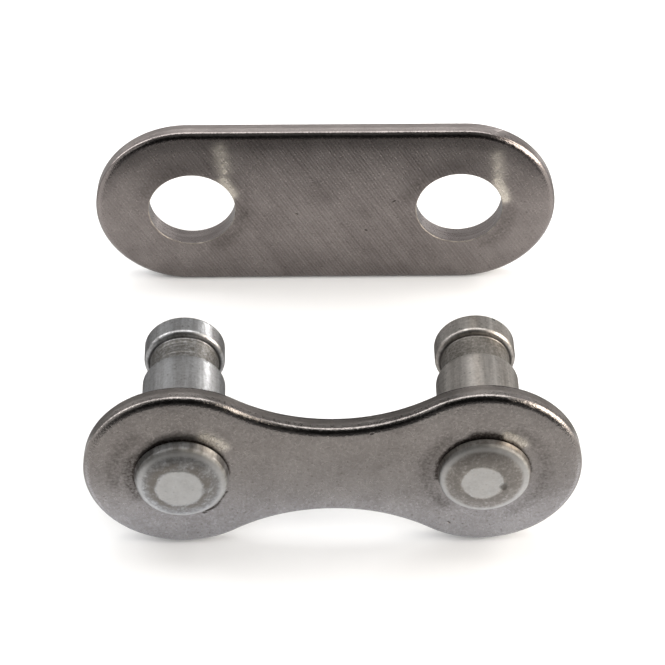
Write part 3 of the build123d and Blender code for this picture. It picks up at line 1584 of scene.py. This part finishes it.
@dataclass(frozen=True)
class Card:
    """A flat sheet beside the link that only its reflections see, glowing or matt."""

    name: str
    x_range: Place
    foot: Place
    head: Place
    colour: Colour
    glows: bool = True

    def corners(self) -> list[tuple[float, float, float]]:
        """Its corners: the foot line (y, z) and the head line (y, z), each over the range of x."""
        left, right = self.x_range
        return [(left, *self.foot), (right, *self.foot), (right, *self.head), (left, *self.head)]


@dataclass
class Studio:
    """Plain pale floor, soft lamps, pale surroundings and the camera."""

    floor_z: float
    outer_face: float
    floor_half: float = 900.0
    floor_colour: float = 0.95
    world: float = 0.5
    aim_y: float = 3.0
    softboxes: tuple[Softbox, ...] = (
        Softbox("lamp_back", 180.0, 41.0, 220.0, 160.0, 90.0, 0.52),
        Softbox("lamp_high", 180.0, 74.0, 220.0, 240.0, 122.0, 2.2),
        Softbox("lamp_stripe", 138.0, 10.0, 160.0, 58.0, 54.0, 12.0),
        Softbox("lamp_left", -114.0, 28.0, 220.0, 84.0, 190.0, 3.0),
        Softbox("lamp_window", 86.0, 21.0, 200.0, 170.0, 130.0, 6.0, (1.0, 0.92, 0.82)),
    )
    key: Softbox = Softbox("lamp_key", 0.0, 58.0, 500.0, 420.0, 420.0, 1.55)
    focal_pixels: float = 3000.0
    image_pixels: float = 665.0
    sensor_width: float = 36.0
    clip_start: float = 0.01
    turn: tuple[float, float, float] = (41.3232, -1.0863, 0.3966)
    offset: tuple[float, float, float] = (0.0221, 5.8832, 125.9228)

    def flat_sheet(self, name: str, corners: list[tuple[float, float, float]]) -> bpy.types.Object:
        """A rectangle that belongs to the stage.

        Args:
            name: Name of the sheet.
            corners: Its four corners in millimetres.

        Returns:
            The sheet.
        """
        mesh = bpy.data.meshes.new(name)
        mesh.from_pydata([tuple(c * MM for c in corner) for corner in corners], [], [(0, 1, 2, 3)])
        sheet = bpy.data.objects.new(name, mesh)
        bpy.context.scene.collection.objects.link(sheet)
        return sheet

    def paint(self, name: str, colour: Colour, glows: bool = False) -> bpy.types.Material:
        """A plain matt material, or one that gives off its colour by itself.

        Args:
            name: Name of the material.
            colour: Its colour.
            glows: Whether it gives the colour off.

        Returns:
            The material.
        """
        material, shader = new_material(name)
        base = (0.0, 0.0, 0.0) if glows else colour
        shader.inputs["Base Color"].default_value = (*base, 1.0)
        shader.inputs["Roughness"].default_value = 1.0
        shader.inputs["Specular IOR Level"].default_value = 0.0
        if glows:
            shader.inputs["Emission Color"].default_value = (*colour, 1.0)
            shader.inputs["Emission Strength"].default_value = 1.0
        return material

    def cards(self) -> tuple[Card, ...]:
        """The sheets that stand round the link and over the floor, for its reflections alone.

        Returns:
            The cards, in millimetres.
        """
        floor = self.floor_z
        low, near, foot = floor + 0.01, floor + 0.03, floor + 0.2
        wide, broad, behind = (-90, 70), (-20, 20), 15.5
        return (
            Card("floor_card", (-120, 120), (-60, low), (120, low), (0.5,) * 3, False),
            Card("near_card", (-16, 16), (-3.6, near), (-0.6, near), (0.86, 0.89, 0.95), False),
            Card("foot_card", wide, (-15, foot), (-21, 7), (0.1,) * 3),
            Card("front_card", wide, (-21, 7), (-62, 66), (0.006,) * 3),
            Card("between_card", broad, (8, foot), (8, 1), (0.15,) * 3),
            Card("upper_card", wide, (-62, 66), (-16, 112), (0.02,) * 3),
            Card("right_flag", (12.5, 34), (17, floor), (17, 12), (0.16,) * 3),
            Card("left_flag", (-40, -12.5), (17, floor), (17, 12), (0.2,) * 3),
            Card("head_card", broad, (behind, 5.5), (behind, 10.5), (0.1,) * 3),
            Card("shank_card", (-20, 1), (behind, 10.5), (behind, 15), (0.3,) * 3),
            Card("side_card", (7.6, 20), (behind, 10.5), (behind, 15), (0.13,) * 3),
            Card("pin_glow", (4.8, 7.3), (15.4, 10), (15.4, 14), (1.9, 1.8, 1.66)),
            Card("waist_card", (-3.4, 3.4), (5, 4.6), (5, 9.6), (0.03,) * 3),
            Card("lobe_card", broad, (behind, 15), (behind, 21), (0.17,) * 3),
            Card("end_card", (8.6, 13), (18.2, 2.5), (18.2, 6.5), (0.2,) * 3),
            Card("bore_card", broad, (18.4, -4), (18.4, 3), (0.48,) * 3),
        )

    def build_floor(self) -> None:
        """Lays the floor and sets the cards, which only reflections see."""
        half, z = self.floor_half, self.floor_z
        corners = [(-half, -half, z), (half, -half, z), (half, half, z), (-half, half, z)]
        floor = self.flat_sheet("floor", corners)
        floor.data.materials.append(self.paint("floor_paint", (self.floor_colour,) * 3))
        for card in self.cards():
            sheet = self.flat_sheet(card.name, card.corners())
            sheet.data.materials.append(self.paint(f"{card.name}_paint", card.colour, card.glows))
            sheet.visible_camera = False
            sheet.visible_shadow = False
            sheet.visible_diffuse = False

    def build_lights(self) -> None:
        """Sets the surroundings, the lamps that the metal mirrors and the key light above."""
        world = bpy.data.worlds.new("surroundings")
        world.use_nodes = True
        background = next(n for n in world.node_tree.nodes if n.type == "BACKGROUND")
        background.inputs["Color"].default_value = (1.0, 1.0, 1.0, 1.0)
        background.inputs["Strength"].default_value = self.world
        bpy.context.scene.world = world
        target = Vector((0.0, self.aim_y * MM, 0.0))
        for softbox in self.softboxes:
            softbox.build(target)
        # the metal mirrors the other lamps, and the key lamp only lights
        self.key.build(target).visible_glossy = False

    def build_camera(self) -> None:
        """Sets the camera: turned about x, y and z from looking level along +Y, then set back.

        The offset is where the middle of the pin plate's outer face lies as the camera sees it:
        to the right, down and away.
        """
        level = Matrix(((1, 0, 0), (0, 0, -1), (0, 1, 0)))
        x, y, z = (math.radians(angle) for angle in self.turn)
        turn = (
            Matrix.Rotation(x, 3, "X") @ Matrix.Rotation(y, 3, "Y") @ Matrix.Rotation(z, 3, "Z")
        ) @ level
        place = -(turn.transposed() @ Vector(self.offset)) - Vector((0.0, self.outer_face, 0.0))
        axes = Matrix((turn[0], -turn[1], -turn[2])).transposed()
        data = bpy.data.cameras.new("camera")
        data.sensor_width = self.sensor_width
        data.lens = self.focal_pixels / self.image_pixels * data.sensor_width
        data.clip_start = self.clip_start
        camera = bpy.data.objects.new("camera", data)
        camera.matrix_world = Matrix.Translation(place * MM) @ axes.to_4x4()
        bpy.context.scene.collection.objects.link(camera)
        bpy.context.scene.camera = camera

    def build(self) -> None:
        """Builds floor, lights and camera."""
        self.build_floor()
        self.build_lights()
        self.build_camera()
        bpy.context.scene.view_settings.view_transform = "Standard"


def middle_x(node: str) -> float:
    """Where a node's middle is along the chain, in millimetres."""
    low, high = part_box(node)
    return (low[0] + high[0]) / 2.0 / MM


def faces_of(box: Iterable[Iterable[float]]) -> dict[str, float]:
    """Where a plate's box begins and ends along the pins, as a plate's y_front and y_back."""
    low, high = (np.array(corner) / MM for corner in box)
    return {"y_front": float(low[1]), "y_back": float(high[1])}


def collars(kind: MarkKind, centre_x: float, *rows: tuple[float, ...]) -> tuple[Collar, ...]:
    """Several collars of a kind round one hole, from their remaining values in order."""
    return tuple(Collar(kind, centre_x, *row) for row in rows)


def streaks(kind: MarkKind, *rows: tuple[Place, Place, float, float]) -> tuple[Streak, ...]:
    """Several streaks of a kind, from their remaining values in order."""
    return tuple(Streak(kind, *row) for row in rows)


def outer_plate(half_pitch: float) -> Plate:
    """The waisted plate that holds the pins, with soil, painted shade and painted highlights round
    its rivets.

    Args:
        half_pitch: Half the distance between the pins.

    Returns:
        The plate, not yet built.
    """
    return Plate(
        node="pin_plate",
        body="pin_link",
        slot="pin_plate_nickel",
        outline=WaistedOutline(half_pitch, 4.138, 2.299),
        rim=Rim(0.3, 0.14, 0.02),
        hole_rim=Rim(0.03, 0.03, 0.0, 3, 4, 3),
        hole_x=half_pitch,
        hole_radius=1.79,
        hole_flare=0.06,
        swell_height=0.05,
        swell_width=0.6,
        roll_depth=0.05,
        roll_width=0.95,
        wall_grain=0.006,
        seed=11,
        marks=(
            # soil and painted shade round the rivets: the narrow collars that hug each rivet and
            # the two streaks below and right of the left one are painted shade in the gap under its
            # rim, the wider ones partly soil
            *collars(
                MarkKind.SOILED,
                -half_pitch,
                (2.02, 110.0, 205.0, 0.11, 1.2),
                (1.97, 0.0, 110.0, 0.07, 1.0),
                (2.2, 75.0, 150.0, 0.2, 0.35),
                (2.25, 155.0, 212.0, 0.32, 0.6),
                (2.85, 135.0, 190.0, 0.4, 0.35),
            ),
            *streaks(
                MarkKind.SOILED,
                ((-5.48, -2.28), (-4.91, -1.84), 0.045, 1.7),
                ((-4.91, -1.84), (-4.47, -1.02), 0.04, 1.1),
            ),
            *collars(
                MarkKind.SOILED,
                half_pitch,
                (2.0, 100.0, 190.0, 0.1, 1.2),
                (1.95, 0.0, 100.0, 0.07, 1.0),
                (2.12, 74.0, 104.0, 0.16, 1.1),
                (2.45, 130.0, 230.0, 0.3, 0.4),
                (2.6, -60.0, 60.0, 0.35, 0.3),
            ),
            # painted highlights at the upper right of each rivet
            *collars(MarkKind.WORN, -half_pitch, (2.3, 42.0, 66.0, 0.22, 1.7)),
            *collars(MarkKind.WORN, half_pitch, (2.24, 46.0, 68.0, 0.18, 1.7)),
        ),
        **faces_of(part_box("pin_plate")),
    )


def loose_plate(half_pitch: float) -> Plate:
    """The straight-sided plate that comes off, with painted highlights beside its holes and painted
    shade round them.

    Args:
        half_pitch: Half the distance between the pins.

    Returns:
        The plate, not yet built.
    """
    hole_x = 6.2
    # painted shade: soft dark collars above each hole and at its lower right
    soil_and_shade = ((2.4, 95.0, 160.0, 0.5, 0.24), (2.4, -60.0, -5.0, 0.4, 0.34))
    return Plate(
        node="snap_plate",
        body="loose_plate",
        slot="snap_plate_nickel",
        outline=StraightOutline(half_pitch, 4.296),
        rim=Rim(0.3, 0.14, 0.02),
        hole_rim=Rim(0.05, 0.05, 0.0, 5, 12, 5),
        hole_x=hole_x,
        hole_radius=2.0,
        hole_flare=0.0,
        swell_height=0.04,
        swell_width=0.8,
        roll_depth=0.085,
        roll_width=1.0,
        wall_grain=0.008,
        seed=21,
        marks=(
            # painted highlights at the right of each hole
            *streaks(
                MarkKind.WORN,
                ((-4.85, 3.6), (-4.7, 2.3), 0.32, 0.6),
                ((-4.68, 2.3), (-4.64, 2.2), 0.1, 1.4),
                ((-4.72, 1.75), (-4.35, 0.9), 0.24, 1.1),
                ((7.85, 3.1), (7.95, 1.9), 0.3, 0.55),
                ((7.95, 1.6), (8.3, 0.55), 0.22, 1.3),
            ),
            *collars(MarkKind.SOILED, hole_x, *soil_and_shade),
            *collars(MarkKind.SOILED, -hole_x, *soil_and_shade),
        ),
        **faces_of(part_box("snap_plate")),
    )


def both_pins(half_pitch: float, outside: float) -> dict[str, Pin]:
    """The left and the right pin, whose rivets were not hammered alike.

    Args:
        half_pitch: Half the distance between the pins.
        outside: Where the pin plate's outer face is.

    Returns:
        The pins by node, not yet built.
    """
    left = Peening(
        wall=0.64,
        radius=1.955,
        rim_rounding=0.26,
        disc_radius=1.04,
        disc_shift=(-0.08, -0.06),
        lift=0.14,
        dent=0.003,
    )
    right = Peening(
        wall=0.47,
        radius=1.925,
        rim_rounding=0.2,
        disc_radius=0.93,
        disc_shift=(-0.1, -0.04),
        lift=0.1,
        dent=0.0025,
    )
    return {
        "pin_left": Pin("pin_left", "pin_steel", -half_pitch, left, 31, outside),
        "pin_right": Pin("pin_right", "pin_steel", half_pitch, right, 41, outside),
    }


def plate_finishes(outside: float, loose_outside: float) -> dict[str, NickelFinish]:
    """The plates' finishes: satin on the outer plate, brushed on the loose one.

    Args:
        outside: Where the pin plate's outer face is.
        loose_outside: Where the loose plate's outer face is.

    Returns:
        The finishes by node.
    """
    return {
        "pin_plate": NickelFinish(
            name="nickel_satin",
            colour=(0.4, 0.367, 0.347),
            stain=(0.215, 0.193, 0.18),
            lower=(0.465, 0.452, 0.452),
            grain_relief=0.004,
            grain_tone=0.45,
            shear_relief=0.006,
            bore_shade=0.2,
            wall_shade=0.34,
            border_relief=0.007,
            glint_relief=0.035,
            painted_glint_least=0.45,
            nicks=(
                Nick((1.6, outside, 2.2), (0.12, 0.3, 0.06), 20.0),
                Nick((4.97, outside, -2.98), (0.12, 0.3, 0.05), -40.0),
            ),
        ),
        "snap_plate": NickelFinish(
            name="nickel_brushed",
            colour=(0.438, 0.391, 0.374),
            stain=(0.216, 0.188, 0.179),
            lower=(0.405, 0.364, 0.35),
            stroke_relief=0.005,
            stroke_tone=0.5,
            grain_relief=0.002,
            grain_tone=0.2,
            shear_relief=0.008,
            bore_shade=0.0,
            wall_shade=0.12,
            border_relief=0.004,
            glint_relief=0.007,
            painted_glint_least=0.75,
            ridge_relief=0.005,
            nicks=(
                Nick((3.16, loose_outside, 0.44), (0.12, 0.3, 0.045), 30.0),
                Nick((-1.34, loose_outside, -0.3), (0.08, 0.3, 0.05)),
                Nick((1.88, loose_outside, -1.29), (0.09, 0.3, 0.05)),
            ),
        ),
    }


def pin_finishes(right: Pin) -> dict[str, PinFinish]:
    """The pins' finishes: cool grey on the left pin, warm and nicked on the right one.

    Args:
        right: The right pin, which the nicks are placed by.

    Returns:
        The finishes by node.
    """
    cool = PinFinish("zinc_grey", (0.78, 0.785, 0.795), (0.3, 0.292, 0.287), crown_shade=0.1)
    nick_x = right.axis_x + 0.8
    tip = right.bearing + right.groove_width + 1.0
    warm = replace(
        cool,
        name="zinc_warm",
        colour=(0.75, 0.71, 0.665),
        dull=(0.29, 0.264, 0.24),
        crown_shade=0.3,
        nicks=(
            Nick((nick_x, tip, 1.57), (0.1, 0.16, 0.1)),
            Nick((nick_x, right.outside - 0.62, -0.26), (0.22, 0.3, 0.24), 25.0),
        ),
    )
    return {"pin_left": cool, "pin_right": warm}


def main() -> None:
    """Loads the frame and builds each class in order."""
    logging.basicConfig(level=logging.INFO)
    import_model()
    groups = Groups(grain_group(), strokes_group(), spot_group())
    half_pitch = (middle_x("pin_right") - middle_x("pin_left")) / 2.0
    outer, loose = outer_plate(half_pitch), loose_plate(half_pitch)
    pins = both_pins(half_pitch, outer.y_front)
    pieces = {"pin_plate": outer.build(), "snap_plate": loose.build()}
    pieces.update({name: pin.build() for name, pin in pins.items()})
    finishes = plate_finishes(outer.y_front, loose.y_front) | pin_finishes(pins["pin_right"])
    for name, finish in finishes.items():
        mesh = pieces[name].data
        mesh.materials.append(finish.build(groups))
        LOG.info("%s: %d points, %d faces", name, len(mesh.vertices), len(mesh.polygons))
    Studio(floor_z=float(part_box("snap_plate")[0][2]) / MM, outer_face=-outer.y_front).build()


if __name__ == "__main__":
    main()
